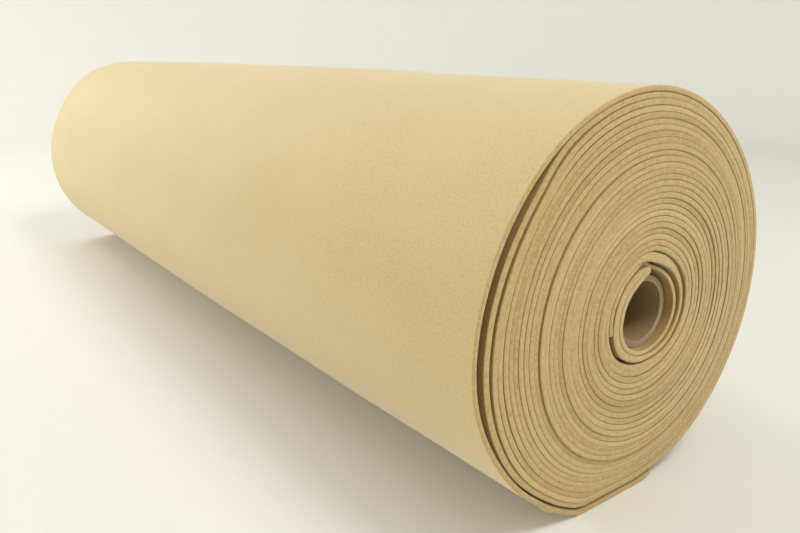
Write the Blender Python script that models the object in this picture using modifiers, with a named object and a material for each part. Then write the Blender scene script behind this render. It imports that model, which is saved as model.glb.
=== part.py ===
"""A roll of thick felt wound on a cardboard core, lying on its side.

The roll lies along X, with the end that shows best at +X. Y points to the right as that end
is seen, and Z is up. The origin is on the floor, under the middle of the roll.

Directions in the tables are in degrees, counter-clockwise as the +X end is seen, from 0 on
the right. The felt is wound outwards that way, so a direction past 360 is a second turn.
"""
import math
from collections import namedtuple

import bmesh
import bpy
import numpy as np

MM = 0.001

# Driving sizes, in metres
ROLL_WIDTH = 0.914
AXIS_HEIGHT = 0.127
FELT_THICKNESS = 0.0032
CORE_LENGTH = 0.901
CORE_OUTER_RADIUS = 0.0234
CORE_WALL = 0.0038

# The core lies low and to the right in the roll, because the felt is packed tighter there
CORE_OFFSET_Y = 0.0131
CORE_OFFSET_Z = -0.0063

# Steps of the outlines, in degrees, and of the core, in sides
OUTSIDE_STEP = 4.0
HOLE_STEP = 8.0
CORE_SIDES = 48

# Where the outer turn ends and where it starts to stand off the turn below it
OUTER_END = 284.0
OUTER_ROOT = 95.0

# Where the felt's inner end is folded back, where the folded flap ends, and where the gap
# that the flap leaves behind it has closed
FOLD_TIP = 98.0
FLAP_END = 549.0
FLAP_GAP_END = 635.0
FOLD_NOSE_LEAD = 3.5

Ring = namedtuple("Ring", "direction radius_mm")
Space = namedtuple("Space", "direction width_mm")

# Outer surface of the outer turn about the roll's axis, before the floor presses it flat
OUTER_SURFACE = (
    Ring(-76, 124.9), Ring(-70, 126.0), Ring(-64, 127.0), Ring(-56, 128.1), Ring(-45, 129.2),
    Ring(-30, 130.3), Ring(-12, 131.3), Ring(0, 131.5), Ring(12, 131.5), Ring(25, 130.8),
    Ring(40, 129.8), Ring(55, 129.5), Ring(70, 130.1), Ring(85, 131.2), Ring(98, 131.6),
    Ring(112, 131.8), Ring(125, 132.3), Ring(138, 132.0), Ring(152, 131.8), Ring(165, 132.3),
    Ring(176, 133.3), Ring(185, 134.0), Ring(193, 133.8), Ring(201, 133.0), Ring(210, 132.0),
    Ring(220, 131.5), Ring(236, 131.3), Ring(244, 132.3), Ring(250, 133.0), Ring(258, 132.5),
    Ring(268, 129.5), Ring(276, 127.9), Ring(284, 128.4),
)

# Space between the loose outer turn and the turn below it
LOOSE_SPACE = (
    Space(95, 0.4), Space(110, 0.5), Space(118, 0.6), Space(124, 1.0), Space(130, 2.4),
    Space(137, 4.7), Space(146, 5.4), Space(158, 5.6), Space(170, 5.6), Space(180, 5.6),
    Space(188, 5.2), Space(196, 4.2), Space(206, 2.5), Space(215, 1.4), Space(225, 1.2),
    Space(240, 1.2), Space(249, 1.3), Space(257, 0.9), Space(266, 0.5), Space(284, 0.3),
)

# Edge of the hole about the core's axis, from the fold's tip once round and over the tip,
# and on as the inner side of the flap's second turn
HOLE_EDGE = (
    Ring(98, 27.2), Ring(121, 25.2), Ring(145, 25.6), Ring(170, 26.2), Ring(190, 26.4),
    Ring(210, 26.5), Ring(235, 25.2), Ring(260, 23.9), Ring(285, 23.6), Ring(315, 23.6),
    Ring(340, 24.1), Ring(365, 24.6), Ring(393, 24.0), Ring(418, 24.8), Ring(436, 27.5),
    Ring(458, 32.8), Ring(472, 34.8), Ring(486, 35.4), Ring(500, 35.7), Ring(520, 36.0),
    Ring(535, 35.9), Ring(549, 35.3),
)

# Outer side of the folded pair in its first turn, about the core's axis
PAIR_SURFACE = (
    Ring(98, 31.0), Ring(111, 33.2), Ring(125, 34.0), Ring(140, 34.3), Ring(160, 34.7),
    Ring(175, 34.5), Ring(189, 33.9), Ring(210, 33.3), Ring(235, 32.0), Ring(260, 30.7),
    Ring(275, 30.3),
)

# Inner side of the turn that lies over the gap behind the flap, about the core's axis
GAP_CEILING = (
    Ring(549, 38.7), Ring(570, 37.8), Ring(583, 36.0), Ring(606, 33.0), Ring(623, 31.5),
    Ring(635, 30.9),
)

FELT_COLOUR = (0.60, 0.45, 0.22, 1.0)
CARDBOARD_COLOUR = (0.33, 0.26, 0.17, 1.0)


def smooth(rows, direction):
    """Reads a table between its rows, on a smooth curve through them."""
    knots = np.array([row[0] for row in rows], float)
    values = np.array([row[1] for row in rows], float) * MM
    slopes = np.gradient(values, knots)
    below = int(np.clip(np.searchsorted(knots, direction) - 1, 0, len(knots) - 2))
    span = knots[below + 1] - knots[below]
    t = (direction - knots[below]) / span
    rise = 3 * t**2 - 2 * t**3
    return (
        values[below] * (1 - rise)
        + values[below + 1] * rise
        + slopes[below] * span * t * (1 - t) ** 2
        - slopes[below + 1] * span * t**2 * (1 - t)
    )


def sweep(start, end, step):
    """Directions from start to end, both included, about a step apart."""
    count = max(1, round(abs(end - start) / step))
    return np.linspace(start, end, count + 1)


def polar(centre, direction, radius):
    angle = math.radians(direction)
    return (centre[0] + radius * math.cos(angle), centre[1] + radius * math.sin(angle))


def towards(point, centre, distance):
    """A point moved that far towards a centre."""
    dy, dz = centre[0] - point[0], centre[1] - point[1]
    share = distance / math.hypot(dy, dz)
    return (point[0] + dy * share, point[1] + dz * share)


def outer_point(axis, direction):
    """A point of the outer surface, which the floor holds flat."""
    y, z = polar(axis, direction, smooth(OUTER_SURFACE, direction))
    return (y, max(z, 0.0))


def roll_outline(axis):
    """The outside once round, then the space under the loose turn, in and out again."""
    outside = [outer_point(axis, d) for d in sweep(OUTER_END - 360, OUTER_END, OUTSIDE_STEP)]
    loose_span = sweep(OUTER_END, OUTER_ROOT, OUTSIDE_STEP)
    under_turn = [towards(outer_point(axis, d), axis, FELT_THICKNESS) for d in loose_span]
    over_body = [
        towards(outer_point(axis, d), axis, FELT_THICKNESS + smooth(LOOSE_SPACE, d))
        for d in loose_span[:0:-1]
    ]
    return outside + under_turn + over_body


def hole_outline(core):
    """The hole once round and past the fold's tip, the flap's end, the gap behind the flap
    and the way back along the outer side of the folded pair to the tip."""
    edge = [
        polar(core, d, smooth(HOLE_EDGE, d)) for d in sweep(FOLD_TIP, FLAP_END, HOLE_STEP)
    ]
    ceiling = [
        polar(core, d, smooth(GAP_CEILING, d))
        for d in sweep(FLAP_END, FLAP_GAP_END, HOLE_STEP)
    ]
    pair = [
        polar(core, d, smooth(PAIR_SURFACE, d))
        for d in sweep(FLAP_GAP_END - 360, FOLD_TIP, HOLE_STEP)
    ]
    nose_radius = (smooth(HOLE_EDGE, FOLD_TIP) + smooth(PAIR_SURFACE, FOLD_TIP)) / 2
    nose = [polar(core, FOLD_TIP - FOLD_NOSE_LEAD, nose_radius)]
    return edge + ceiling + pair + nose


def material(name, colour, roughness):
    made = bpy.data.materials.new(name)
    made.use_nodes = True
    shader = made.node_tree.nodes["Principled BSDF"]
    shader.inputs["Base Color"].default_value = colour
    shader.inputs["Roughness"].default_value = roughness
    shader.inputs["Metallic"].default_value = 0.0
    return made


def add_outline(curve, points):
    """A closed straight-sided outline, across the roll: its X is Y and its Y is Z here."""
    spline = curve.splines.new("POLY")
    spline.points.add(len(points) - 1)
    for place, (y, z) in zip(spline.points, points):
        place.co = (y, z, 0.0, 1.0)
    spline.use_cyclic_u = True


def make_felt_roll(parts, axis, core):
    """The wound felt: its section as a flat outline with a hole, as thick as the roll is wide."""
    curve = bpy.data.curves.new("felt_roll", "CURVE")
    curve.dimensions = "2D"
    curve.fill_mode = "BOTH"
    curve.extrude = ROLL_WIDTH / 2
    add_outline(curve, roll_outline(axis))
    add_outline(curve, hole_outline(core))
    curve.materials.append(material("felt", FELT_COLOUR, 0.95))
    roll = bpy.data.objects.new("felt_roll", curve)
    roll.rotation_euler = (math.pi / 2, 0.0, math.pi / 2)
    parts.objects.link(roll)
    return roll


def make_core_tube(parts, core):
    """The cardboard tube: the section of its wall, turned about the tube's axis."""
    inner = CORE_OUTER_RADIUS - CORE_WALL
    half = CORE_LENGTH / 2
    wall = ((CORE_OUTER_RADIUS, half), (CORE_OUTER_RADIUS, -half), (inner, -half), (inner, half))
    mesh = bpy.data.meshes.new("core_tube")
    section = bmesh.new()
    corners = [section.verts.new((radius, 0.0, along)) for radius, along in wall]
    for index, corner in enumerate(corners):
        section.edges.new((corner, corners[(index + 1) % len(corners)]))
    section.to_mesh(mesh)
    section.free()
    mesh.materials.append(material("cardboard", CARDBOARD_COLOUR, 0.85))
    tube = bpy.data.objects.new("core_tube", mesh)
    turn = tube.modifiers.new("turn", "SCREW")
    turn.axis = "Z"
    turn.steps = CORE_SIDES
    turn.render_steps = CORE_SIDES
    turn.use_merge_vertices = True
    turn.merge_threshold = 0.00001
    tube.rotation_euler = (0.0, math.pi / 2, 0.0)
    tube.location = (0.0, core[0], core[1])
    parts.objects.link(tube)
    return tube


def main():
    for old in list(bpy.data.objects):
        bpy.data.objects.remove(old, do_unlink=True)
    parts = bpy.data.collections.new("roll_of_felt")
    bpy.context.scene.collection.children.link(parts)

    # The axis is moved sideways so that the floor's centre line is under the roll's middle
    sides = [
        outer_point((0.0, AXIS_HEIGHT), d)[0]
        for d in sweep(OUTER_END - 360, OUTER_END, OUTSIDE_STEP)
    ]
    axis = (-(min(sides) + max(sides)) / 2, AXIS_HEIGHT)
    core = (axis[0] + CORE_OFFSET_Y, axis[1] + CORE_OFFSET_Z)
    make_felt_roll(parts, axis, core)
    make_core_tube(parts, core)


main()
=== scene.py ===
# %% [markdown]
# # A roll of thick felt
#
# This lesson dresses a roll of tan craft felt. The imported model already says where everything
# is: one solid for the wound felt and one for the cardboard tube in its middle. Here the plain
# felt solid gives way to the real thing, which is one strip, folded back on itself at its inner
# end and wound about 28 and a half times. The tube gets its plies, and both get their finish.
#
# Lengths are metres, or millimetres where a name ends in `_mm`. The roll lies along X, Y points
# to the right as its near end is seen, and Z is up. Directions are degrees, counter-clockwise as
# the near end is seen, from 0 on the right. The felt is wound outwards that way, so a direction
# past 360 is a second turn.

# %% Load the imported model
import math

import bmesh
import bpy
import numpy as np
from mathutils import Matrix, Vector


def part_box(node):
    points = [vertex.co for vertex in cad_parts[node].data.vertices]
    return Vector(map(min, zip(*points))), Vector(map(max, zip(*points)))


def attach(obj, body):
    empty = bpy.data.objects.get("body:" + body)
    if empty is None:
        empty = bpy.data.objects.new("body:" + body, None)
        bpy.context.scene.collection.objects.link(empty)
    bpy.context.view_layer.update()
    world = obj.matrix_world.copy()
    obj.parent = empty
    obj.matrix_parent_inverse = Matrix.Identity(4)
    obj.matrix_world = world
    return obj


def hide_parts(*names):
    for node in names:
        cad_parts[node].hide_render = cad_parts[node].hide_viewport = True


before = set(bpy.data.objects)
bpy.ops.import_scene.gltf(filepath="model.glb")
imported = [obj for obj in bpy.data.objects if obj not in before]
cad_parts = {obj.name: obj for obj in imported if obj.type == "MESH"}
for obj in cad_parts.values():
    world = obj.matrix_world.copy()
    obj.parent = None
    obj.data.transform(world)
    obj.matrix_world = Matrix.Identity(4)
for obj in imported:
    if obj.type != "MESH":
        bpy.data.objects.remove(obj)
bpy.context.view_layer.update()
felt_low, felt_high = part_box("felt_roll")
tube_low, tube_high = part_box("core_tube")
print("felt", felt_low, felt_high)
print("tube", tube_low, tube_high)

# %% Driving sizes
MM = 0.001
ROLL_RADIUS_MM = 131.5
AXIS_HEIGHT = 0.127
FELT_WIDTH = felt_high.x - felt_low.x
FELT_MM = 3.2
ROLL_AXIS = np.array([felt_high.y - ROLL_RADIUS_MM * MM, AXIS_HEIGHT])
CORE_AXIS = np.array([(tube_low.y + tube_high.y) / 2, (tube_low.z + tube_high.z) / 2])
CORE_LENGTH = tube_high.x - tube_low.x
CORE_RADIUS = (tube_high.z - tube_low.z) / 2
CORE_WALL = 0.0038
print("roll axis", ROLL_AXIS, "core axis", CORE_AXIS, "core radius", CORE_RADIUS)

# %% [markdown]
# ## Camera
#
# The photograph was taken from a low place in front of the near end and to its left, with a
# slightly wide lens. The near end fills the right of the picture and the far end runs away to
# the upper left. The camera's place is measured from the middle of the near end.

# %% Camera
CAMERA_FROM_NEAR_END = Vector((0.2495, -0.3651, 0.1510))
CAMERA_TURN = math.radians(53.246)
CAMERA_DIP = math.radians(16.534)
CAMERA_LENS_MM = 33.19
NEAREST_SEEN = 0.01


def make_camera():
    camera = bpy.data.objects.new("camera", bpy.data.cameras.new("camera"))
    bpy.context.scene.collection.objects.link(camera)
    camera.data.lens = CAMERA_LENS_MM
    camera.data.clip_start = NEAREST_SEEN
    ahead = Vector((
        -math.sin(CAMERA_TURN) * math.cos(CAMERA_DIP),
        math.cos(CAMERA_TURN) * math.cos(CAMERA_DIP),
        -math.sin(CAMERA_DIP),
    ))
    near_end = Vector((felt_high.x, ROLL_AXIS[0], ROLL_AXIS[1]))
    camera.location = near_end + CAMERA_FROM_NEAR_END
    camera.rotation_mode = "QUATERNION"
    camera.rotation_quaternion = ahead.to_track_quat("-Z", "Y")
    bpy.context.scene.camera = camera
    return camera


print("camera at", make_camera().location)

# %% [markdown]
# ## A small helper for node trees
#
# Materials and Geometry Nodes are both graphs. Wiring them by hand takes a line for every node
# and every link, so a small class does it here. Wrapping a socket in it lets a sum be
# written as a sum: `1 - mask * 0.5` adds its own Math nodes. Every other node comes from one
# method, which takes the node's type, its settings and the values or links of its sockets.


# %% Node helper
class Wire:
    """An output socket that can stand in a sum."""

    def __init__(self, graph, socket):
        self.graph = graph
        self.socket = socket

    def __add__(self, other):
        return self.graph.maths("ADD", self, other)

    def __radd__(self, other):
        return self.graph.maths("ADD", other, self)

    def __sub__(self, other):
        return self.graph.maths("SUBTRACT", self, other)

    def __rsub__(self, other):
        return self.graph.maths("SUBTRACT", other, self)

    def __mul__(self, other):
        return self.graph.maths("MULTIPLY", self, other)

    def __truediv__(self, other):
        return self.graph.maths("DIVIDE", self, other)


class Graph:
    """A node tree under construction."""

    def __init__(self, tree):
        self.tree = tree

    def add(self, kind, settings=None, inputs=None, out=0):
        """Adds a node and returns one of its outputs."""
        node = self.tree.nodes.new(kind)
        for name, value in (settings or {}).items():
            setattr(node, name, value)
        for name, value in (inputs or {}).items():
            self.feed(node.inputs[name], value)
        return Wire(self, node.outputs[out])

    def feed(self, socket, value):
        if isinstance(value, Wire):
            self.tree.links.new(value.socket, socket)
        else:
            socket.default_value = value

    def maths(self, operation, *values):
        return self.add(
            "ShaderNodeMath", {"operation": operation}, dict(enumerate(values))
        )

    def vector_maths(self, operation, *values):
        return self.add(
            "ShaderNodeVectorMath", {"operation": operation}, dict(enumerate(values))
        )

    def scaled(self, vector, factor):
        return self.add(
            "ShaderNodeVectorMath", {"operation": "SCALE"}, {0: vector, "Scale": factor}
        )

    def spread(self, value, low, high):
        """A value between low and high, as 0 to 1 and no further."""
        return self.add(
            "ShaderNodeMapRange",
            {"interpolation_type": "SMOOTHSTEP"},
            {"Value": value, "From Min": low, "From Max": high},
        )

    def blend(self, share, first, second, how="MIX"):
        """A mix of two colours."""
        return self.add(
            "ShaderNodeMix",
            {"data_type": "RGBA", "blend_type": how},
            {0: share, 6: first, 7: second},
            out=2,
        )

    def noise(self, vector, scale, detail=2.0, rough=0.5, **settings):
        return self.add(
            "ShaderNodeTexNoise",
            settings,
            {"Vector": vector, "Scale": scale, "Detail": detail, "Roughness": rough},
        )

    def toned(self, tone, full, plain, light, dark):
        """A colour that goes towards light or dark as the tone leaves 0."""
        colour = self.blend(self.spread(tone, 0.0, full), plain, light)
        return self.blend(self.spread(0.0 - tone, 0.0, full), colour, dark)

    def bump(self, height, distance, strength):
        return self.add(
            "ShaderNodeBump",
            None,
            {"Height": height, "Distance": distance, "Strength": strength},
        )


def new_material(name, roughness, specular):
    """A material, its graph and its shader. What is the same all over is set on the shader."""
    made = bpy.data.materials.new(name)
    made.use_nodes = True
    shader = made.node_tree.nodes["Principled BSDF"]
    shader.inputs["Roughness"].default_value = roughness
    shader.inputs["Specular IOR Level"].default_value = specular
    return made, Graph(made.node_tree), shader


def plain_mesh(source, name):
    """Turns an object and its modifiers into a plain mesh object, and removes the source."""
    depsgraph = bpy.context.evaluated_depsgraph_get()
    mesh = bpy.data.meshes.new_from_object(source.evaluated_get(depsgraph))
    mesh.name = name
    made = bpy.data.objects.new(name, mesh)
    bpy.context.scene.collection.objects.link(made)
    bpy.data.objects.remove(source, do_unlink=True)
    return made


def face_outwards(made):
    """Turns a closed mesh the right way out. Its volume is negative if it is inside out."""
    check = bmesh.new()
    check.from_mesh(made.data)
    volume = check.calc_volume(signed=True)
    open_edges = sum(1 for edge in check.edges if not edge.is_manifold)
    check.free()
    if volume < 0:
        made.data.flip_normals()
    print(made.name, "volume", round(abs(volume), 6), "open edges", open_edges)


# %% [markdown]
# ## Felt
#
# Felt is a mat of short fibres with no weave. Close up it is a tangle of fine light and dark
# hairs, and from a step away it is nearly even, with soft clouds where the mat is thicker. Real
# hair on the surface would be heavy and would be lost in an exported model, so noise draws it.
# The pattern is read from coordinates that follow the strip: how far along, how far across and
# how deep in the cloth. Ridged noise makes lines that look like hairs. Cut edges are a little
# deeper in colour and show the layers of the mat, and each turn differs a little from the next.
# Faces inside the winding, which are all but the cut edges and the outside of the roll, get a
# painted shade: a deeper brown that darkens the wider gaps.

# %% Felt material
FELT_COLOUR = (0.555, 0.437, 0.228, 1.0)
FELT_LIGHT = (0.670, 0.548, 0.318, 1.0)
FELT_DEEP = (0.440, 0.325, 0.140, 1.0)
CUT_TINT = (1.0, 0.932, 0.82, 1.0)
# Painted shade: the deeper brown put on the faces inside the winding
PAINTED_SHADE_TINT = (0.74, 0.61, 0.41, 1.0)
SHEEN_TINT = (1.0, 0.955, 0.83, 1.0)
FLECK_GREEN = (0.160, 0.330, 0.170, 1.0)
HAIRS_PER_M = 900.0
GRAIN_PER_M = HAIRS_PER_M / 1.3
COARSE_PER_M = HAIRS_PER_M / 4.0
CLOUDS_PER_M = 14.0
RINGS_PER_TURN = 1.7
# Flecks of green fibre: where their noise and that of their patches start and are full
FLECKS_PER_M = 260.0
FLECK_EDGES = (0.735, 0.80)
FLECK_PATCHES_PER_M = 9.0
FLECK_PATCH_EDGES = (0.60, 0.72)
FLECK_SHARE = 0.6
# How much each pattern changes the tone of a face, and how much more on a cut edge
GRAIN_TONE, GRAIN_ON_CUT = 0.9, 0.3
COARSE_TONE, COARSE_ON_CUT = 0.05, 0.65
HAIR_TONE = 0.25
CLOUD_TONE = 0.25
RING_ON_CUT = 0.9
CUT_DEEPER = 0.06
FULL_TONE = 0.45
# The same patterns as relief
GRAIN_RELIEF = 0.6
HAIR_RELIEF = 0.3
COARSE_RELIEF, COARSE_RELIEF_ON_CUT = 0.05, 0.95
FELT_RELIEF = 0.0006


def felt_material():
    made, graph, shader = new_material("felt", roughness=0.95, specular=0.15)
    place = graph.add("ShaderNodeAttribute", {"attribute_name": "felt_place"}, out=1)
    cut = graph.add("ShaderNodeAttribute", {"attribute_name": "cut"}, out=2)
    turn = graph.add("ShaderNodeAttribute", {"attribute_name": "turn"}, out=2)
    sheltered = graph.add("ShaderNodeAttribute", {"attribute_name": "sheltered"}, out=2)

    hairs = graph.noise(
        place, HAIRS_PER_M, detail=3.0, rough=0.6, noise_type="RIDGED_MULTIFRACTAL"
    )
    grain = graph.noise(place, GRAIN_PER_M, detail=3.0, rough=0.65)
    clouds = graph.noise(place, CLOUDS_PER_M, detail=4.0, rough=0.55)
    ring = graph.add(
        "ShaderNodeTexNoise", {"noise_dimensions": "1D"}, {"W": turn, "Scale": RINGS_PER_TURN}
    )

    coarse = graph.noise(place, COARSE_PER_M, detail=3.0, rough=0.6)
    tone = (grain - 0.5) * (GRAIN_TONE + cut * GRAIN_ON_CUT)
    tone = tone + (hairs - 0.5) * HAIR_TONE + (clouds - 0.5) * CLOUD_TONE
    tone = tone + (coarse - 0.5) * (COARSE_TONE + cut * COARSE_ON_CUT)
    tone = tone + cut * (ring - 0.5) * RING_ON_CUT - cut * CUT_DEEPER
    colour = graph.toned(tone, FULL_TONE, FELT_COLOUR, FELT_LIGHT, FELT_DEEP)
    colour = graph.blend(cut, colour, CUT_TINT, "MULTIPLY")
    # Painted shade on the faces inside the winding, which darkens the gaps between the layers
    colour = graph.blend(sheltered, colour, PAINTED_SHADE_TINT, "MULTIPLY")
    flecks = graph.noise(place, FLECKS_PER_M, detail=1.0)
    fleck_patch = graph.noise(place, FLECK_PATCHES_PER_M, detail=1.0)
    fleck = graph.spread(flecks, *FLECK_EDGES) * graph.spread(fleck_patch, *FLECK_PATCH_EDGES)
    colour = graph.blend(fleck * FLECK_SHARE, colour, FLECK_GREEN)

    height = grain * GRAIN_RELIEF + hairs * HAIR_RELIEF
    height = height + coarse * (COARSE_RELIEF + cut * COARSE_RELIEF_ON_CUT)
    graph.feed(shader.inputs["Base Color"], colour)
    graph.feed(shader.inputs["Normal"], graph.bump(height, FELT_RELIEF, 0.55))
    shader.inputs["Sheen Weight"].default_value = 0.5
    shader.inputs["Sheen Roughness"].default_value = 0.45
    shader.inputs["Sheen Tint"].default_value = SHEEN_TINT
    return made


felt = felt_material()
print("felt material has", len(felt.node_tree.nodes), "nodes")

# %% [markdown]
# ## The winding
#
# On the real roll one strip makes every layer, so one path makes them here. An even spiral
# would be quicker, but the real roll is pressed flat below, its core lies to the right of the
# middle, and some turns are loose. So the path starts at the free end of the folded flap, goes
# back round the core to the fold, turns over on itself, and then winds outwards to the loose
# end on the floor. The tables of the outside and of the space under the loose turn are those of
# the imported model. Between the first turns and the outside the layers share the room evenly: a
# layer's place is a blend of an inner, a middle and an outer ring, and the blend moves outwards
# a little with every degree.

# %% Tables of the section, in degrees and millimetres
FOLD_TIP = 98.0
FOLD_START = 102.0
FLAP_END = 549.0
FLAP_TURN = (FLAP_END - FOLD_TIP) / 360.0
OUTER_START = -76.0
OUTER_END = 284.0
WHOLE_TURNS = 28

# Outside of the outer turn about the roll's axis, before the floor presses it flat
OUTER_SURFACE = (
    (-76, 124.9), (-70, 126.0), (-64, 127.0), (-56, 128.1), (-45, 129.2), (-30, 130.3),
    (-12, 131.3), (0, 131.5), (12, 131.5), (25, 130.8), (40, 129.8), (55, 129.5),
    (70, 130.1), (85, 131.2), (98, 131.6), (112, 131.8), (125, 132.3), (138, 132.0),
    (152, 131.8), (165, 132.3), (176, 133.3), (185, 134.0), (193, 133.8), (201, 133.0),
    (210, 132.0), (220, 131.5), (236, 131.3), (244, 132.3), (250, 133.0), (258, 132.5),
    (268, 129.5), (276, 127.9), (284, 128.4),
)
# Space between the loose outer turn and the turn below it
LOOSE_SPACE = (
    (-76, 0.1), (50, 0.1), (80, 0.25), (95, 0.4), (110, 0.5), (118, 0.6), (124, 1.0), (130, 2.4),
    (137, 4.7), (146, 5.4), (158, 5.6), (170, 5.6), (180, 5.6), (188, 5.2), (196, 4.2),
    (206, 2.5), (215, 1.4), (225, 1.2), (240, 1.2), (249, 1.3), (257, 0.9), (266, 0.5),
    (284, 0.3),
)
# The flap: inner side about the core's axis, and thickness. Felt swells where nothing presses
FLAP_INSIDE = (
    (98, 27.0), (121, 25.1), (145, 25.3), (170, 26.0), (190, 26.3), (210, 26.2), (235, 24.6),
    (260, 23.6), (285, 23.7), (300, 24.3), (315, 25.2), (340, 26.6), (360, 26.9), (380, 26.4),
    (400, 26.3), (420, 26.8), (436, 27.7), (446, 28.6), (453, 30.5), (460, 32.5), (468, 34.0),
    (478, 35.1), (488, 35.5), (500, 36.0), (520, 36.2), (535, 35.8), (549, 35.2),
)
FLAP_THICKNESS = (
    (98, 2.6), (112, 3.3), (130, 3.9), (150, 3.9), (180, 3.5), (210, 3.3), (240, 3.1),
    (360, 3.0), (400, 2.8), (438, 2.3), (455, 2.4), (470, 3.2), (500, 3.3), (549, 3.4),
)
# The first turn and a half outside the flap: both sides, about the core's axis
FIRST_TURN_INSIDE = (
    (98, 29.0), (111, 28.9), (125, 29.1), (140, 29.3), (160, 29.6), (189, 29.7), (210, 29.6),
    (235, 27.8), (260, 26.8), (275, 26.9), (300, 28.4), (320, 30.1), (340, 31.6), (360, 32.5),
    (380, 32.2), (400, 31.5), (420, 31.1), (432, 31.1), (440, 31.5), (448, 32.4), (454, 33.6),
    (460, 35.3), (466, 36.9), (474, 38.2), (486, 38.9), (500, 39.4), (520, 39.6), (535, 39.4),
    (549, 39.0), (560, 38.5), (570, 37.9), (583, 36.2), (606, 33.2), (623, 31.6), (635, 31.3),
    (660, 32.8), (680, 34.2), (700, 35.8), (720, 36.8), (740, 37.4), (760, 37.3), (780, 37.7),
    (800, 39.2), (818, 41.7), (832, 42.7), (846, 43.2), (860, 43.4), (880, 43.4), (909, 42.6),
)
FIRST_TURN_OUTSIDE = (
    (98, 31.2), (111, 33.2), (125, 34.1), (140, 34.5), (160, 34.7), (175, 34.9), (189, 35.2),
    (210, 35.0), (235, 32.7), (260, 30.7), (275, 30.3), (300, 31.8), (320, 33.4), (340, 34.9),
    (360, 35.9), (380, 36.0), (400, 36.1), (420, 36.8), (440, 38.8), (458, 41.5), (472, 42.4),
    (486, 42.9), (500, 43.1), (520, 43.1), (535, 42.8), (549, 42.5), (560, 42.4), (570, 42.0),
    (583, 40.6), (606, 37.9), (623, 36.4), (635, 36.1), (660, 37.1), (680, 38.3), (700, 39.5),
    (720, 40.3), (740, 40.8), (760, 40.9), (780, 41.3), (800, 42.7), (818, 45.1), (832, 46.0),
    (846, 46.5), (860, 46.7), (880, 46.7), (909, 45.9),
)
# Inner ring of the even layers, about its own middle, from the roll's axis
RING_MIDDLE_MM = np.array([11.8, -0.7])
INNER_RING = (
    (0, 35.1), (20, 33.8), (45, 31.6), (65, 30.6), (90, 32.6), (120, 34.5), (150, 36.2),
    (180, 37.7), (200, 39.5), (220, 39.5), (235, 38.3), (252, 37.1), (270, 35.8), (290, 35.0),
    (310, 35.2), (330, 36.0), (345, 36.0), (360, 35.1),
)
# Outer ring of the even layers, about the roll's axis. The real outside has harder corners,
# which only the last few turns follow
EVEN_OUTER = (
    (-76, 121.6), (-70, 122.4), (-60, 123.7), (-45, 125.3), (-30, 126.3), (0, 127.1), (25, 126.3),
    (45, 125.1), (60, 124.9), (80, 125.6), (100, 125.8), (120, 124.8), (140, 123.0), (160, 121.8),
    (180, 121.5), (200, 122.0), (220, 123.1), (240, 123.8), (252, 123.3), (262, 122.0),
    (272, 121.2), (284, 121.6),
)
# Ring half-way out, a circle, and its place between the inner ring at 0 and the outer at 1
MIDDLE_SHARE = 0.507
MIDDLE_RING_CENTRE_MM = np.array([13.6, -5.6])
MIDDLE_RING_RADIUS_MM = 84.7
# A second space, one turn below the loose one
SECOND_SPACE = (
    (-76, 0.0), (95, 0.0), (115, 0.3), (130, 1.2), (148, 1.9), (165, 1.9), (180, 1.7),
    (195, 1.3), (210, 0.8), (225, 0.35), (240, 0.1), (255, 0.0), (284, 0.0),
)
# Space between two layers near the core and near the outside, by direction
INNER_SPACE = (
    (0, 0.33), (30, 0.26), (60, 0.14), (90, 0.09), (120, 0.05), (150, 0.03), (180, 0.05),
    (220, 0.08), (250, 0.05), (275, 0.01), (310, 0.05), (340, 0.22), (360, 0.33),
)
OUTER_SPACE = (
    (0, 0.02), (30, 0.07), (60, 0.14), (90, 0.11), (120, 0.05), (150, 0.05), (180, 0.12),
    (220, 0.12), (250, 0.05), (275, 0.01), (310, 0.0), (340, 0.0), (360, 0.02),
)
# How square the pressed edges are, by direction: 0 is round and 1 is flat
INNER_PRESSED = (
    (0, 0.15), (30, 0.15), (60, 0.25), (90, 0.4), (120, 0.65), (150, 0.8), (190, 0.75),
    (230, 0.7), (255, 0.8), (280, 1.0), (310, 0.9), (335, 0.5), (360, 0.15),
)
OUTER_PRESSED = (
    (0, 0.95), (30, 0.85), (60, 0.55), (90, 0.45), (130, 0.7), (160, 0.7), (190, 0.5), (230, 0.5),
    (255, 0.7), (275, 1.0), (340, 1.0), (360, 0.95),
)
# Layers with a wider space outside them on the right: turn and width, and how many turns it
# takes to open and close
WIDER_SPAN = 0.12
WIDER_SPACES = (
    (1.75, 0.15), (2.75, 0.15), (3.75, 0.2), (4.75, 0.2), (5.75, 0.5), (6.75, 0.1), (7.75, 0.35),
    (8.78, 0.4), (9.75, 0.1), (10.75, 0.15), (11.75, 0.2), (12.75, 0.3), (13.72, 0.4),
    (14.8, 0.1), (17.2, 0.1),
)
print("turns", WHOLE_TURNS, "outside the fold, and", round(FLAP_TURN, 2), "of the flap")


# %% Helpers for the tables
def smooth(rows, direction):
    """Reads a table between its rows, on a smooth curve through them."""
    direction = np.asarray(direction, float)
    knots, values = np.array(rows, float).T
    slopes = np.gradient(values, knots)
    below = np.clip(np.searchsorted(knots, direction) - 1, 0, len(knots) - 2)
    span = knots[below + 1] - knots[below]
    t = np.clip((direction - knots[below]) / span, 0.0, 1.0)
    rise = 3 * t**2 - 2 * t**3
    return (
        values[below] * (1 - rise)
        + values[below + 1] * rise
        + slopes[below] * span * t * (1 - t) ** 2
        - slopes[below + 1] * span * t**2 * (1 - t)
    )


def ease(value, low, high):
    """Rises from 0 at low to 1 at high, with soft ends."""
    t = np.clip((np.asarray(value, float) - low) / (high - low), 0.0, 1.0)
    return t * t * (3 - 2 * t)


def ray(direction):
    """Unit vectors across the roll."""
    angle = np.radians(direction)
    return np.stack([np.cos(angle), np.sin(angle)], axis=-1)


def about_core(rows, direction):
    """Points of a table about the core's axis, in millimetres from the roll's axis."""
    offset = (CORE_AXIS - ROLL_AXIS) / MM
    return offset + ray(direction) * smooth(rows, direction)[..., None]


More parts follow.
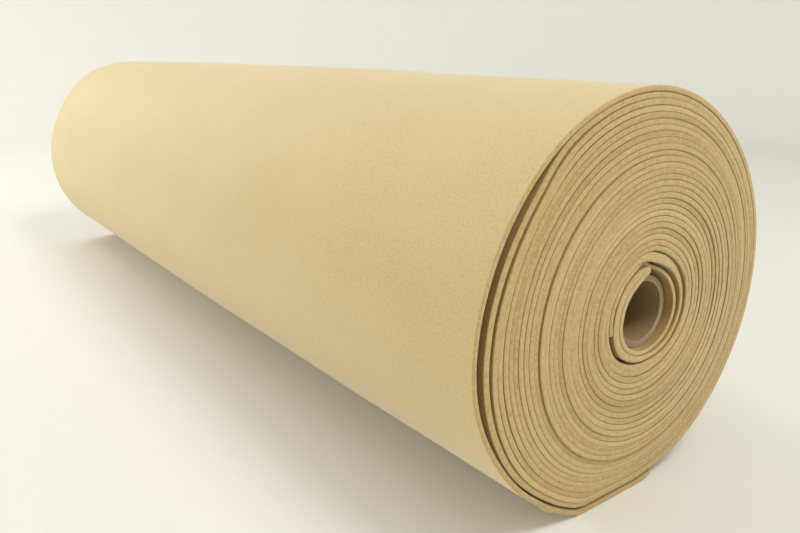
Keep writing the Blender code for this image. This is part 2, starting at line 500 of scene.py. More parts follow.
def outer_side(direction):
    """Points of the outside. The floor holds them flat."""
    points = ray(direction) * smooth(OUTER_SURFACE, direction)[..., None]
    floor = -AXIS_HEIGHT / MM
    points[..., 1] = np.maximum(points[..., 1], floor)
    return points


def inwards(points, distance):
    """Points moved towards the roll's axis."""
    length = np.linalg.norm(points, axis=-1)
    return points * (1 - distance / length)[..., None]


TOP = 90.0
print("mm from the axis to the top", round(float(smooth(OUTER_SURFACE, TOP)), 2))


# %% Surfaces between the layers
# A share is how far out a layer lies: 0 at the inner ring, 1 under the last turn
EVEN_TURNS = WHOLE_TURNS - 2 + (OUTER_END - FOLD_TIP) / 360.0 - (FLAP_TURN - 1)
TURN_SLACK_MM = 0.1
TURN_GROWTH_MM = 3.4
# Shares over which the layers take on the outside's hard corners, and over which the second
# space opens and closes
HARD_CORNERS = (0.86, 1.0)
SECOND_OPENS = (0.70, 0.965)
SECOND_CLOSES = (0.999, 1.016)
ABOVE_SECOND = 0.45


def share_out(direction):
    return ((direction - FOLD_TIP) / 360.0 - (FLAP_TURN - 1)) / EVEN_TURNS


def around_once(direction):
    """The direction within the outer turn, whichever turn it is in."""
    return np.mod(direction - OUTER_START, 360.0) + OUTER_START


def outer_ring(around, share):
    """The ring outside the even layers. It has hard corners only under the last turns."""
    shrink = FELT_MM + TURN_SLACK_MM + smooth(LOOSE_SPACE, around)
    # With the growth over one turn taken out, the ring closes on itself
    shrink = shrink + TURN_GROWTH_MM * (around - OUTER_START) / 360.0
    hard_ring = inwards(outer_side(around), shrink)
    soft_ring = ray(around) * smooth(EVEN_OUTER, around)[..., None]
    ring = soft_ring + (hard_ring - soft_ring) * ease(share, *HARD_CORNERS)[..., None]
    below_second = ease(share, *SECOND_OPENS) * (1 - ease(share, *SECOND_CLOSES))
    return inwards(ring, smooth(SECOND_SPACE, around) * below_second)


def between_layers(direction):
    """The surface outside the even layer at this direction, counted on through the turns."""
    share = share_out(direction)
    outer = outer_ring(around_once(direction), share)
    along_ring = np.mod(direction, 360.0)
    inner = RING_MIDDLE_MM + ray(along_ring) * smooth(INNER_RING, along_ring)[..., None]
    middle = MIDDLE_RING_CENTRE_MM + ray(direction) * MIDDLE_RING_RADIUS_MM
    inner_share = (share / MIDDLE_SHARE)[..., None]
    outer_share = ((share - MIDDLE_SHARE) / (1 - MIDDLE_SHARE))[..., None]
    inner_part = inner + (middle - inner) * inner_share
    outer_part = middle + (outer - middle) * outer_share
    return np.where(share[..., None] < MIDDLE_SHARE, inner_part, outer_part)


print("even turns", round(EVEN_TURNS, 2))

# %% Both sides of the strip
# Directions over which the sides go over from the first turns' tables to the even layers, and
# from there to the free outer turn
FIRST_TURNS_END = 909.0
INSIDE_TO_EVEN = (760.0, FIRST_TURNS_END)
OUTSIDE_TO_EVEN = (640.0, 900.0)
TO_FREE = (OUTER_START, OUTER_START + 15)


def layer_sides(direction):
    """Inner and outer side of the wound strip at this direction."""
    direction = np.asarray(direction, float)
    first_in = about_core(FIRST_TURN_INSIDE, np.minimum(direction, FIRST_TURNS_END))
    first_out = about_core(FIRST_TURN_OUTSIDE, np.minimum(direction, FIRST_TURNS_END))
    even_out = between_layers(direction)
    even_in = between_layers(direction - 360.0)
    above_second = smooth(SECOND_SPACE, around_once(direction))
    above_second = ABOVE_SECOND * above_second * ease(share_out(direction), *SECOND_CLOSES)
    even_in = inwards(even_in, -above_second)
    inside = first_in + (even_in - first_in) * ease(direction, *INSIDE_TO_EVEN)[..., None]
    outside = first_out + (even_out - first_out) * ease(direction, *OUTSIDE_TO_EVEN)[..., None]
    last = direction - 360.0 * WHOLE_TURNS
    free = outer_side(last)
    under_free = inwards(free, np.full(last.shape, FELT_MM + TURN_SLACK_MM))
    to_free = ease(last, *TO_FREE)[..., None]
    outside = outside + (free - outside) * to_free
    inside = inside + (under_free - inside) * to_free
    return inside, outside


# %% [markdown]
# The path is first made in half-degree steps and then thinned: a flat stretch needs fewer
# points than a tight one. What the strip does at each point is kept with it: its thickness, how
# far it has slipped sideways, and how loose it lies. No hand winds felt perfectly, so some of
# these get a little slow noise with a fixed seed.

# %% Path of the strip
FINE_STEP = 0.5
# How far a straight piece may leave its curve, and the closer spacing at the fold
ROUNDNESS_MM = 0.055
NOSE_SPACING_MM = 0.55
NOSE_SPACING_PER_DEGREE = 0.12
NOSE_POINTS = 9
NOSE_LENGTH = 1.25
# Half the strip's thickness: the least, the most over the fold, the most in the even layers
# and what the loose turns may have on top of that
LEAST_HALF_MM = 1.06
FOLD_HALF_MM = 3.15
MOST_HALF_MM = 1.82
LOOSE_HALF_MM = 0.25
FOLD_TO_EVEN = (600.0, 720.0)
EVEN_TO_LOOSE = (360.0 * (WHOLE_TURNS - 1) + 90.0, 360.0 * (WHOLE_TURNS - 1) + 140.0)
# Share over which the tables near the core give way to those near the outside
INNER_TO_OUTER = (0.35, 0.75)
SPACE_CHANGE = 0.95
MOST_SPACE_CHANGE = 3.0


def slow_noise(count_turns, knots_per_turn, seed):
    """A smooth random table over the turns, from -1 to 1."""
    random = np.random.default_rng(seed)
    count = int(count_turns * knots_per_turn) + 3
    knots = np.arange(count) / knots_per_turn
    return np.column_stack([knots, random.uniform(-1, 1, count)])


def by_place(inner_rows, outer_rows, direction):
    """Reads a pair of tables by direction, blended from the core to the outside."""
    around = np.mod(direction, 360.0)
    inner = smooth(inner_rows, around)
    outer = smooth(outer_rows, around)
    return inner + (outer - inner) * ease(share_out(direction), *INNER_TO_OUTER)


def flap_path():
    """From the flap's free end back to the fold: middle line, half thickness, direction."""
    direction = np.arange(FLAP_END, FOLD_START - 0.01, -FINE_STEP)
    inner = about_core(FLAP_INSIDE, direction)
    core = (CORE_AXIS - ROLL_AXIS) / MM
    arm = inner - core
    out = arm / np.linalg.norm(arm, axis=1)[:, None]
    half = smooth(FLAP_THICKNESS, direction) / 2
    return inner + out * half[:, None], half, direction


def wound_path():
    """From the fold outwards to the loose end."""
    end = OUTER_END + 360.0 * WHOLE_TURNS
    direction = np.arange(FOLD_START, end + 0.01, FINE_STEP)
    inside, outside = layer_sides(direction)
    room = np.linalg.norm(outside - inside, axis=1)
    turn = (direction - FOLD_TIP) / 360.0
    space = by_place(INNER_SPACE, OUTER_SPACE, direction)
    slow = smooth(slow_noise(turn[-1], 5, seed=3), turn)
    quick = smooth(slow_noise(turn[-1], 17, seed=4), turn)
    space = space * np.clip(1.0 + SPACE_CHANGE * (slow + 0.5 * quick), 0.0, MOST_SPACE_CHANGE)
    wider = np.zeros(len(turn))
    for wide_turn, width in WIDER_SPACES:
        wider = wider + width * np.exp(-(((turn - wide_turn) / WIDER_SPAN) ** 2))
    outside = outside - (outside - inside) * (wider / room)[:, None]
    most = FOLD_HALF_MM + (MOST_HALF_MM - FOLD_HALF_MM) * ease(direction, *FOLD_TO_EVEN)
    most = most + LOOSE_HALF_MM * ease(direction, *EVEN_TO_LOOSE)
    half = np.clip((room - wider - space) / 2, LEAST_HALF_MM, most)
    return (inside + outside) / 2, half, direction


def fold_nose(flap_tip, wound_tip):
    """The turn-over between the flap's last point and the first wound one."""
    middle = (flap_tip + wound_tip) / 2
    reach = (wound_tip - flap_tip) / 2
    ahead = np.array([reach[1], -reach[0]])
    angles = np.linspace(0.0, math.pi, NOSE_POINTS + 2)[1:-1]
    return np.array([
        middle - reach * math.cos(a) + ahead * math.sin(a) * NOSE_LENGTH for a in angles
    ])


def thin_out(points, spacing):
    """Positions along a fine path where points are kept, a local spacing apart."""
    steps = np.linalg.norm(np.diff(points, axis=0), axis=1)
    run = np.concatenate([[0.0], np.cumsum(steps / np.minimum(spacing[1:], spacing[:-1]))])
    count = int(round(run[-1]))
    return np.interp(np.linspace(0.0, run[-1], count + 1), run, np.arange(len(run)))


def strip_path():
    """The whole path, from the flap's free end to the loose end on the floor."""
    flap_line, flap_half, flap_direction = flap_path()
    wound_line, wound_half, wound_direction = wound_path()
    nose = fold_nose(flap_line[-1], wound_line[0])
    nose_direction = np.full(len(nose), FOLD_START)
    line = np.vstack([flap_line, nose, wound_line])
    nose_half = np.linspace(flap_half[-1], wound_half[0], len(nose) + 2)[1:-1]
    half = np.concatenate([flap_half, nose_half, wound_half])
    direction = np.concatenate([flap_direction, nose_direction, wound_direction])
    wound = np.concatenate([
        np.zeros(len(flap_line)), np.full(len(nose), 0.5), np.ones(len(wound_line))
    ])
    core = (CORE_AXIS - ROLL_AXIS) / MM
    radius = np.linalg.norm(line - core, axis=1)
    spacing = np.sqrt(8 * radius * ROUNDNESS_MM)
    near_nose = np.abs(direction - FOLD_START)
    spacing = np.minimum(spacing, NOSE_SPACING_MM + NOSE_SPACING_PER_DEGREE * near_nose)
    kept = thin_out(line, spacing)
    whole = np.arange(len(line))

    def at(values):
        return np.interp(kept, whole, values)

    return {
        "line": np.column_stack([at(line[:, 0]), at(line[:, 1])]),
        "half": at(half),
        "direction": at(direction),
        "wound": at(wound),
    }


path = strip_path()
segments = np.diff(path["line"], axis=0)
along_mm = np.concatenate([[0.0], np.cumsum(np.linalg.norm(segments, axis=1))])

# %% [markdown]
# The ends of a hand-wound roll are never quite flat. A turn stands a millimetre proud where the
# strip wandered sideways, and where a turn slipped back there is a step. The tables give the
# larger steps that show on the near end, and slow noise adds the rest.

# %% Unevenness along the strip
# How far the strip has wandered towards the near end at each turn, in millimetres
WANDER = (
    (0, 0.0), (1, 0.0), (1.4, 0.2), (2, 0.1), (3.5, 0.4), (5, 0.0), (6.5, 0.5), (8, 0.1),
    (9.5, -0.2), (11, 0.2), (12.3, 0.6), (13.5, 0.0), (15, 0.4), (16.3, 0.3), (16.9, 0.3),
    (17.2, 0.7), (17.45, 0.65), (17.8, -0.1), (18.3, -0.15), (19, 0.0), (20.2, 0.3),
    (21.4, -0.3), (23, -0.4), (24.5, -0.1), (25.5, -0.3), (26.2, 0.0), (26.6, 0.0), (26.9, -0.3),
    (27.15, -0.7), (27.35, -0.6), (27.5, -0.2), (27.8, 0.2), (28.2, 0.4), (28.6, 0.4),
)
# How far the near end's edge lies back in the first turns, by direction
FLAP_SET_BACK = (
    (98, 0.0), (225, 0.0), (250, 0.4), (275, 1.0), (300, 1.5), (330, 1.9), (380, 2.2),
    (408, 2.7), (428, 3.9), (444, 5.6), (455, 5.0), (465, 2.4), (475, 0.8), (488, 0.1), (549, 0.0),
)
FIRST_TURN_SET_BACK = (
    (98, 0.0), (250, 0.0), (300, 0.5), (330, 0.9), (400, 1.0), (420, 0.7), (440, 0.3),
    (458, 0.0), (560, 0.0),
)
FIRST_SET_BACK_END = 560.0
WANDER_NOISE_MM = 0.22
# Where the near corner of the loose turn is frayed and turned out
FRAY_DIRECTION = 237.5
FRAY_WIDTH = 1.0
# The outer turns wave and belly out, but not on the floor. Both grow over these turns before
# the end and these heights in millimetres
WAVING_TURNS = (6.0, 0.5)
WAVING_HEIGHTS = (4.0, 40.0)
BELLY_TURNS = (9.0, 1.0)
BELLY_HEIGHTS = (2.0, 60.0)
# The pressed edges start beyond the first turns and end where the loose turn stands free
PRESSED_FROM = (560.0, 900.0)
STANDS_FREE = (60.0, 110.0)


def left_normals(line):
    """The in-plane normal to the left of the path, at each point."""
    ahead = np.gradient(line, axis=0)
    ahead /= np.linalg.norm(ahead, axis=1)[:, None]
    return np.column_stack([-ahead[:, 1], ahead[:, 0]])


def strip_attributes():
    """What Geometry Nodes has to know at each point of the path."""
    direction = path["direction"]
    wound = path["wound"]
    turn = (direction - FOLD_TIP) / 360.0
    turns = float(turn.max())
    noise = smooth(slow_noise(turns, 2.6, seed=11), turn)
    wander = smooth(WANDER, turn) + WANDER_NOISE_MM * noise
    set_back = smooth(FIRST_TURN_SET_BACK, np.minimum(direction, FIRST_SET_BACK_END)) * wound
    flap_back = smooth(FLAP_SET_BACK, np.minimum(direction, FLAP_END)) * (1 - wound)
    last = direction - 360.0 * WHOLE_TURNS
    fray = np.exp(-(((last - FRAY_DIRECTION) / FRAY_WIDTH) ** 2))
    height = path["line"][:, 1] + AXIS_HEIGHT / MM

    def outer_turns(before_end, heights):
        first, full = before_end
        return ease(turn, turns - first, turns - full) * ease(height, *heights) * wound

    stands_free = ease(last, *STANDS_FREE)
    tight = smooth(LOOSE_SPACE, np.maximum(last, OUTER_START)) * stands_free
    pressed = by_place(INNER_PRESSED, OUTER_PRESSED, direction) * wound
    pressed = pressed * ease(direction, *PRESSED_FROM) * (1 - stands_free)
    normals = left_normals(path["line"])
    centre = path["line"] * MM + ROLL_AXIS
    nothing = np.zeros(len(turn))
    return {
        "centre": np.column_stack([nothing, centre]),
        "left": np.column_stack([nothing, normals]),
        "half": path["half"] * MM,
        "wander": wander * MM,
        "set_back": (set_back + flap_back) * MM,
        "fray": fray,
        "waviness": outer_turns(WAVING_TURNS, WAVING_HEIGHTS),
        "belly": outer_turns(BELLY_TURNS, BELLY_HEIGHTS),
        "tight": tight * MM,
        "pressed": pressed,
        "along": along_mm * MM,
        "turn": turn,
    }


def add_attributes(mesh, values):
    for name, data in values.items():
        kind = "FLOAT_VECTOR" if data.ndim == 2 else "FLOAT"
        made = mesh.attributes.new(name, kind, "POINT")
        made.data.foreach_set("vector" if data.ndim == 2 else "value", data.ravel())


def wire_object(name, points, closed, values):
    """A line of points, as an object that Geometry Nodes can read as a curve."""
    count = len(points)
    edges = [(i, i + 1) for i in range(count - 1)]
    if closed:
        edges.append((count - 1, 0))
    mesh = bpy.data.meshes.new(name)
    mesh.from_pydata([tuple(p) for p in points], edges, [])
    add_attributes(mesh, values)
    made = bpy.data.objects.new(name, mesh)
    bpy.context.scene.collection.objects.link(made)
    return made


strip_values = strip_attributes()
rail = wire_object("winding_path", strip_values["centre"], False, strip_values)
print("rail points", len(rail.data.vertices))

# %% [markdown]
# ## The strip
#
# The strip is as wide as the roll is long and 3.2 mm thick. A stack of separate rings would
# look much the same from the end, but no ring would lead to the next, and the fold and the
# loose end would need pieces of their own. So its section, a long flat loop with the soft
# corners that shears leave, is run along the path by Geometry Nodes, and every layer, the fold
# and both free ends come from one rule. `reach` says how far a point of the section lies from
# the middle of the width, `side` which face it is on, and `cut` whether it is on a cut edge.
# `drop` says how far a corner stands back from the edge, which pressing takes away.

# %% Section of the strip
CORNER_MM = 0.5
EDGE_CROWN_MM = 0.05
FACE_STATIONS = 12
CORNER_ANGLES = np.radians((0.0, 35.0, 70.0))
# How far in from the edge the flat faces and the corners end, in corner sizes
FLAT_FROM = 2.2
CORNER_TO = 1.5


def section_loop():
    """Points round the section, each as reach, side, cut and drop."""
    half_width = FELT_WIDTH / 2
    half = FELT_MM / 2
    corner = [
        (half_width - (CORNER_MM - CORNER_MM * math.sin(a)) * MM,
         (half - CORNER_MM + CORNER_MM * math.cos(a)) / half, math.sin(a))
        for a in CORNER_ANGLES
    ]
    crown = [(half_width + EDGE_CROWN_MM * MM, 0.0, 1.0)]
    near_edge = corner + crown + [(x, -side, cut) for x, side, cut in corner[::-1]]
    far_edge = [(-x, -side, cut) for x, side, cut in near_edge]
    inner_width = half_width - FLAT_FROM * CORNER_MM * MM
    stations = np.linspace(-inner_width, inner_width, FACE_STATIONS)
    upper = [(x, 1.0, 0.0) for x in stations]
    lower = [(x, -1.0, 0.0) for x in stations[::-1]]
    loop = np.array(upper + near_edge + lower + far_edge)
    reach = np.abs(loop[:, 0])
    drop = np.sign(loop[:, 0]) * np.maximum(half_width - reach, 0.0)
    return np.column_stack([loop, drop * (reach > half_width - CORNER_TO * CORNER_MM * MM)])


section = section_loop()
section_points = np.column_stack([
    section[:, 0], section[:, 1] * FELT_MM / 2 * MM, np.zeros(len(section))
])
profile = wire_object("strip_section", section_points, True, {
    "reach": section[:, 0], "side": section[:, 1], "cut": section[:, 2], "drop": section[:, 3],
})
print("section points", len(section))


# %% Geometry Nodes tree of the strip
def named(graph, name, kind="FLOAT"):
    """An attribute of the mesh, by its name."""
    return graph.add(
        "GeometryNodeInputNamedAttribute", {"data_type": kind}, {"Name": name}
    )


def tree_with_inputs(name, inputs):
    """A Geometry Nodes tree with named inputs. Each is (socket type, name, value)."""
    tree = bpy.data.node_groups.new(name, "GeometryNodeTree")
    tree.interface.new_socket("Geometry", in_out="INPUT", socket_type="NodeSocketGeometry")
    tree.interface.new_socket("Geometry", in_out="OUTPUT", socket_type="NodeSocketGeometry")
    identifiers = {}
    for kind, label, _ in inputs:
        socket = tree.interface.new_socket(label, in_out="INPUT", socket_type=kind)
        identifiers[label] = socket.identifier
    group_in = tree.nodes.new("NodeGroupInput")
    group_out = tree.nodes.new("NodeGroupOutput")
    graph = Graph(tree)
    wires = {socket.name: Wire(graph, socket) for socket in group_in.outputs if socket.name}
    return tree, graph, wires, group_out, identifiers


def run_tree(target, tree, identifiers, inputs):
    """Puts the tree on an object, with its inputs set before it is first worked out."""
    modifier = target.modifiers.new(tree.name, "NODES")
    modifier.node_group = tree
    for _, label, value in inputs:
        modifier[identifiers[label]] = value
    bpy.context.view_layer.update()


STRIP_INPUTS = (
    ("NodeSocketObject", "Section", profile),
    ("NodeSocketMaterial", "Felt", felt),
    ("NodeSocketFloat", "Wave height", 0.0035),
    ("NodeSocketFloat", "Waves per metre", 4.5),
    ("NodeSocketFloat", "Edge roughness", 0.0007),
    ("NodeSocketFloat", "Fray height", 0.0009),
    ("NodeSocketFloat", "Belly height", 0.0026),
)
HALF_WIDTH = FELT_WIDTH / 2
FRAY_REACH = 0.014
FRAY_SWELL = 0.3
RAGS_PER_M = 95.0
# The loose turn closes towards the far end: where that begins, and how much of the space it takes
FAR_FROM = 0.05
FAR_CLOSED = 0.9
# Turns over which the outside begins to be seen, and so is left without the painted shade
LAST_TURN = WHOLE_TURNS + (OUTER_START - FOLD_TIP) / 360.0
UNSHADED_OUTSIDE_TURNS = (LAST_TURN - 0.12, LAST_TURN)


def strip_place(graph, wires, reach, side, cut, half):
    """Where each point of the strip goes, from its place on the path and in the section."""
    centre = named(graph, "centre", "FLOAT_VECTOR")
    left = named(graph, "left", "FLOAT_VECTOR")
    near = graph.spread(reach, 0.0, HALF_WIDTH)
    reach_only = graph.add("ShaderNodeCombineXYZ", None, {"X": reach})
    place = graph.vector_maths("ADD", centre, reach_only)

    waves = graph.noise(place, wires["Waves per metre"], detail=1.5)
    lift = (waves - 0.5) * wires["Wave height"] * named(graph, "waviness")
    corner = graph.spread(reach, HALF_WIDTH - FRAY_REACH, HALF_WIDTH)
    lift = lift + named(graph, "fray") * corner * wires["Fray height"]
    from_middle = reach * (2 / FELT_WIDTH)
    bulge = (1 - from_middle * from_middle) * named(graph, "belly") * wires["Belly height"]
    far = graph.spread(0 - reach, FAR_FROM, HALF_WIDTH)
    lift = lift + bulge - named(graph, "tight") * far * FAR_CLOSED
    thick = half * (1 + named(graph, "fray") * corner * FRAY_SWELL)
    ragged = graph.noise(place, RAGS_PER_M, detail=3.0, rough=0.6)
    ragged = (ragged - 0.5) * cut * wires["Edge roughness"]
    along_x = reach + named(graph, "wander") - named(graph, "set_back") * near
    along_x = along_x + ragged + named(graph, "drop") * named(graph, "pressed")
    depth = side * thick - lift
    moved = graph.vector_maths("ADD", centre, graph.scaled(left, depth))
    sideways = graph.add("ShaderNodeCombineXYZ", None, {"X": along_x})
    return graph.vector_maths("ADD", moved, sideways)


def strip_tree():
    tree, graph, wires, group_out, identifiers = tree_with_inputs("felt_strip", STRIP_INPUTS)
    rail_curve = graph.add("GeometryNodeMeshToCurve", None, {"Mesh": wires["Geometry"]})
    info = graph.add("GeometryNodeObjectInfo", None, {"Object": wires["Section"]}, out=4)
    loop = graph.add("GeometryNodeMeshToCurve", None, {"Mesh": info})
    swept = graph.add(
        "GeometryNodeCurveToMesh",
        None,
        {"Curve": rail_curve, "Profile Curve": loop, "Fill Caps": True},
    )

    reach, side, cut, half = (named(graph, n) for n in ("reach", "side", "cut", "half"))
    moved = strip_place(graph, wires, reach, side, cut, half)
    placed = graph.add(
        "GeometryNodeSetPosition", None, {"Geometry": swept, "Position": moved}
    )
    felt_place = graph.add(
        "ShaderNodeCombineXYZ", None, {"X": named(graph, "along"), "Y": reach, "Z": side * half}
    )
    stored = graph.add(
        "GeometryNodeStoreNamedAttribute",
        {"data_type": "FLOAT_VECTOR", "domain": "POINT"},
        {"Geometry": placed, "Name": "felt_place", "Value": felt_place},
    )
    # Mask of the painted shade: every face but the cut edges and the outside of the last turn
    unshaded_outside = graph.spread(named(graph, "turn"), *UNSHADED_OUTSIDE_TURNS)
    unshaded_outside = unshaded_outside * graph.spread(0 - side, -0.1, 0.1)
    with_painted_shade = graph.add(
        "GeometryNodeStoreNamedAttribute",
        {"data_type": "FLOAT", "domain": "POINT"},
        {"Geometry": stored, "Name": "sheltered", "Value": (1 - unshaded_outside) * (1 - cut)},
    )
    smooth_faces = graph.add("GeometryNodeSetShadeSmooth", None, {"Geometry": with_painted_shade})
    realised = graph.add("GeometryNodeRealizeInstances", None, {"Geometry": smooth_faces})
    painted = graph.add(
        "GeometryNodeSetMaterial", None, {"Geometry": realised, "Material": wires["Felt"]}
    )
    graph.feed(group_out.inputs["Geometry"], painted)
    return tree, identifiers


# %% Make the strip
# What the felt's material reads. The rest was only for the tree
SHADER_ATTRIBUTES = ("felt_place", "cut", "turn", "sheltered")
SHARP_CUT = math.radians(50.0)


def make_strip():
    tree, identifiers = strip_tree()
    run_tree(rail, tree, identifiers, STRIP_INPUTS)
    strip = plain_mesh(rail, "felt_strip")
    bpy.data.objects.remove(profile, do_unlink=True)
    face_outwards(strip)
    strip.data.set_sharp_from_angle(angle=SHARP_CUT)
    print("strip triangles", sum(len(p.vertices) - 2 for p in strip.data.polygons))
    for name in (*strip_values, "reach", "side", "drop"):
        if name not in SHADER_ATTRIBUTES:
            strip.data.attributes.remove(strip.data.attributes[name])
    print("attributes", [a.name for a in strip.data.attributes])
    return strip


strip = make_strip()
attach(strip, "root")
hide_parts("felt_roll")

# %% [markdown]
# ## Cardboard core
#
# The tube is wound from strips of brown board glued in a spiral. Its cut ends show the plies as
# fine rings, and its bore shows one slanting seam. A plain cylinder with a hole would lose the
# plies, so the wall's section, with a small round for each ply, is turned round the tube's axis
# by a Screw modifier. The seam is drawn by the material, since it is only as deep as a sheet of
# paper.

# %% Cardboard material
BOARD_COLOUR = (0.320, 0.218, 0.106, 1.0)
BOARD_LIGHT = (0.370, 0.295, 0.205, 1.0)
BOARD_DARK = (0.120, 0.075, 0.035, 1.0)
# The seam's pitch, and half its width as a share of that: dark up to the first, gone past the next
SEAM_PITCH = 0.092
SEAM_EDGES = (0.004, 0.012)
BOARD_FIBRES_PER_M = 700.0
BOARD_PATCHES_PER_M = 60.0
PLY_LINE = 0.001
END_DEPTH = 0.0006
# How much each changes the tone. The cut ends are lighter, with the plies as lines
FIBRE_TONE = 0.7
PATCH_TONE = 0.5
END_TONE, PLY_ON_END = 0.35, 0.18
BOARD_FULL_TONE = 0.5
BOARD_RELIEF = 0.0003


def cardboard_material():
    made, graph, shader = new_material("cardboard", roughness=0.85, specular=0.25)
    place = graph.add("ShaderNodeTexCoord", out=3)
    parts = made.node_tree.nodes.new("ShaderNodeSeparateXYZ")
    graph.feed(parts.inputs[0], place)
    x, y, z = (Wire(graph, socket) for socket in parts.outputs)
    across = y - float(CORE_AXIS[0])
    up = z - float(CORE_AXIS[1])
    angle = graph.maths("ARCTAN2", up, across) / (2 * math.pi)
    radius = graph.maths("SQRT", across * across + up * up)
    phase = graph.maths("FRACT", x / SEAM_PITCH + angle)
    seam = graph.maths("ABSOLUTE", phase - 0.5)
    seam = 1 - graph.spread(seam, *SEAM_EDGES)
    fibres = graph.noise(place, BOARD_FIBRES_PER_M, detail=4.0, rough=0.7)
    patches = graph.noise(place, BOARD_PATCHES_PER_M, detail=3.0)
    plies = graph.maths("SINE", (radius - (CORE_RADIUS - CORE_WALL)) * (2 * math.pi / PLY_LINE))
    end = graph.spread(graph.maths("ABSOLUTE", x), CORE_LENGTH / 2 - END_DEPTH, CORE_LENGTH / 2)
    tone = (fibres - 0.5) * FIBRE_TONE + (patches - 0.5) * PATCH_TONE
    tone = tone + end * (END_TONE + plies * PLY_ON_END)
    colour = graph.toned(tone, BOARD_FULL_TONE, BOARD_COLOUR, BOARD_LIGHT, BOARD_DARK)
    colour = graph.blend(seam * 0.7, colour, BOARD_DARK)
    height = fibres * 0.4 + plies * end * 0.5 - seam
    graph.feed(shader.inputs["Base Color"], colour)
    graph.feed(shader.inputs["Normal"], graph.bump(height, BOARD_RELIEF, 0.6))
    return made


cardboard = cardboard_material()
print("cardboard material has", len(cardboard.node_tree.nodes), "nodes")


# %% Make the tube
TUBE_SIDES = 96
RIM_ROUND = 0.0003
PLY_COUNT = 3
# Each ply's round, across it: the crack beside it, and where it is full. Each inner one stands
# back a little more
PLY_CRACK = 0.02 * MM
PLY_FULL = (0.22, 0.78)
PLY_STEP = 0.05
WALL_STATIONS = 9
END_CLEAR = 0.02
MERGE_WITHIN = 0.00001
SHARP_RIM = math.radians(35.0)


def tube_wall():
    """The wall's section as (radius, along), from the outside round the near end and back."""
    outer = CORE_RADIUS
    inner = CORE_RADIUS - CORE_WALL
    half = CORE_LENGTH / 2
    rim = []
    ply = CORE_WALL / PLY_COUNT
    for index in range(PLY_COUNT):
        top = outer - index * ply
        rim += [
            (top - PLY_CRACK, half - RIM_ROUND),
            (top - PLY_FULL[0] * ply, half),
            (top - PLY_FULL[1] * ply, half - PLY_STEP * MM * index),
            (top - ply + PLY_CRACK, half - RIM_ROUND),
        ]
    rim[0] = (outer, half - RIM_ROUND)
    rim[-1] = (inner, half - RIM_ROUND)
    stations = np.linspace(-half + END_CLEAR, half - END_CLEAR, WALL_STATIONS)
    outside = [(outer, x) for x in stations]
    inside = [(inner, x) for x in stations[::-1]]
    far_rim = [(radius, -x) for radius, x in rim[::-1]]
    return outside + rim + inside + far_rim


def turned(line, closed, sides, name):
    """A line of (radius, height) turned round Z, as a plain mesh object."""
    points = [(radius, 0.0, height) for radius, height in line]
    source = wire_object(name + "_line", points, closed, {})
    turn = source.modifiers.new("turn", "SCREW")
    turn.steps = sides
    turn.render_steps = sides
    turn.use_merge_vertices = True
    turn.merge_threshold = MERGE_WITHIN
    made = plain_mesh(source, name)
    made.data.shade_smooth()
    return made


def make_tube():
    tube = turned(tube_wall(), True, TUBE_SIDES, "cardboard_core")
    onto_x = Matrix.Rotation(math.pi / 2, 4, "Y")
    tube.data.transform(Matrix.Translation((0.0, CORE_AXIS[0], CORE_AXIS[1])) @ onto_x)
    tube.data.materials.append(cardboard)
    face_outwards(tube)
    tube.data.set_sharp_from_angle(angle=SHARP_RIM)
    return tube


tube = make_tube()
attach(tube, "root")
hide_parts("core_tube")

# %% [markdown]
# ## Floor, backdrop and light
#
# The roll lies on pale paper that curves up behind it, so there is no hard horizon from any
# side. Two large soft lights stand over the far end, one above it and one in front, which is
# why the far end is the brightest part. A smaller one near the floor lifts the shadow under
# the roll, and one over the near end lights the layers.

# %% Floor and backdrop
PAPER_COLOUR = (0.76, 0.755, 0.71, 1.0)
FLOOR_RADIUS = 1.75
SWEEP_RADIUS = 0.55
WALL_HEIGHT = 1.9
SWEEP_STEPS = 16
BACKDROP_SIDES = 96


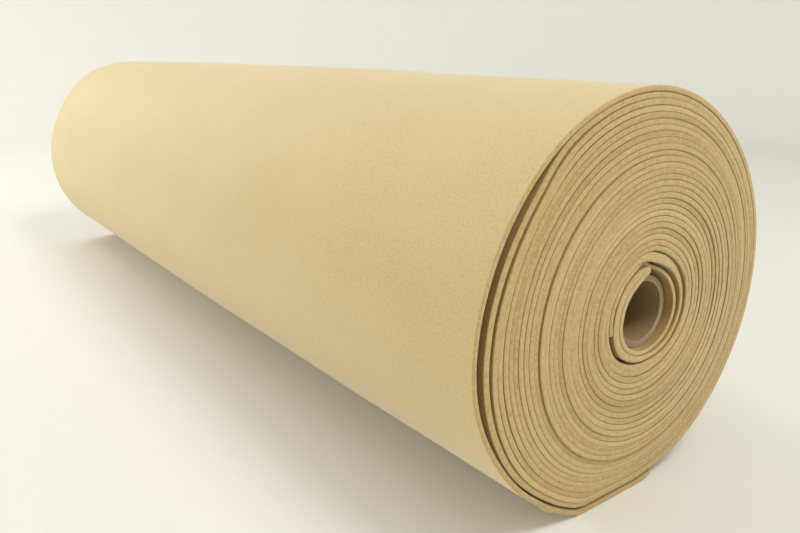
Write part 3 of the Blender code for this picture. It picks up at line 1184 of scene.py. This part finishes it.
def paper_material():
    made, _, shader = new_material("pale_paper", roughness=0.7, specular=0.2)
    shader.inputs["Base Color"].default_value = PAPER_COLOUR
    return made


def make_backdrop():
    """Floor, curve and wall as one line, turned round the middle."""
    arc = [
        (FLOOR_RADIUS + SWEEP_RADIUS * math.sin(a), SWEEP_RADIUS * (1 - math.cos(a)))
        for a in np.radians(np.linspace(0.0, 90.0, SWEEP_STEPS))
    ]
    line = [(0.0, 0.0)] + arc + [(FLOOR_RADIUS + SWEEP_RADIUS, WALL_HEIGHT)]
    sweep = turned(line, False, BACKDROP_SIDES, "paper_sweep")
    sweep.data.materials.append(paper_material())
    return sweep


print("backdrop", make_backdrop().dimensions)


# %% Lights
def soft_light(name, place, target, size, power, colour):
    data = bpy.data.lights.new(name, "AREA")
    data.shape = "DISK"
    data.size = size
    data.energy = power
    data.color = colour
    light = bpy.data.objects.new(name, data)
    bpy.context.scene.collection.objects.link(light)
    light.location = place
    aim = Vector(target) - Vector(place)
    light.rotation_mode = "QUATERNION"
    light.rotation_quaternion = aim.to_track_quat("-Z", "Y")
    light.visible_camera = False
    return light


# Each light: name, place, what it points at, size, power and colour
LIGHTS = (
    ("key_light", (-1.4, -0.4, 1.8), (-0.7, 0.1, 0.1), 1.3, 14.5, (1.0, 0.99, 0.97)),
    ("wall_light", (-1.2, -1.8, 0.7), (-0.9, 0.1, 0.1), 1.3, 21.5, (1.0, 0.995, 0.98)),
    ("low_light", (-0.9, -1.7, 0.4), (-0.4, 0.0, 0.05), 0.8, 7.5, (1.0, 0.995, 0.98)),
    ("fill_light", (1.25, 0.35, 1.8), (0.45, 0.0, 0.1), 0.8, 20.0, (1.0, 0.98, 0.93)),
)
ROOM_COLOUR = (1.0, 0.99, 0.96, 1.0)
ROOM_STRENGTH = 0.50

for light in LIGHTS:
    soft_light(*light)

world = bpy.data.worlds.new("studio")
world.use_nodes = True
background = world.node_tree.nodes["Background"]
background.inputs["Color"].default_value = ROOM_COLOUR
background.inputs["Strength"].default_value = ROOM_STRENGTH
bpy.context.scene.world = world
bpy.context.scene.view_settings.view_transform = "Standard"
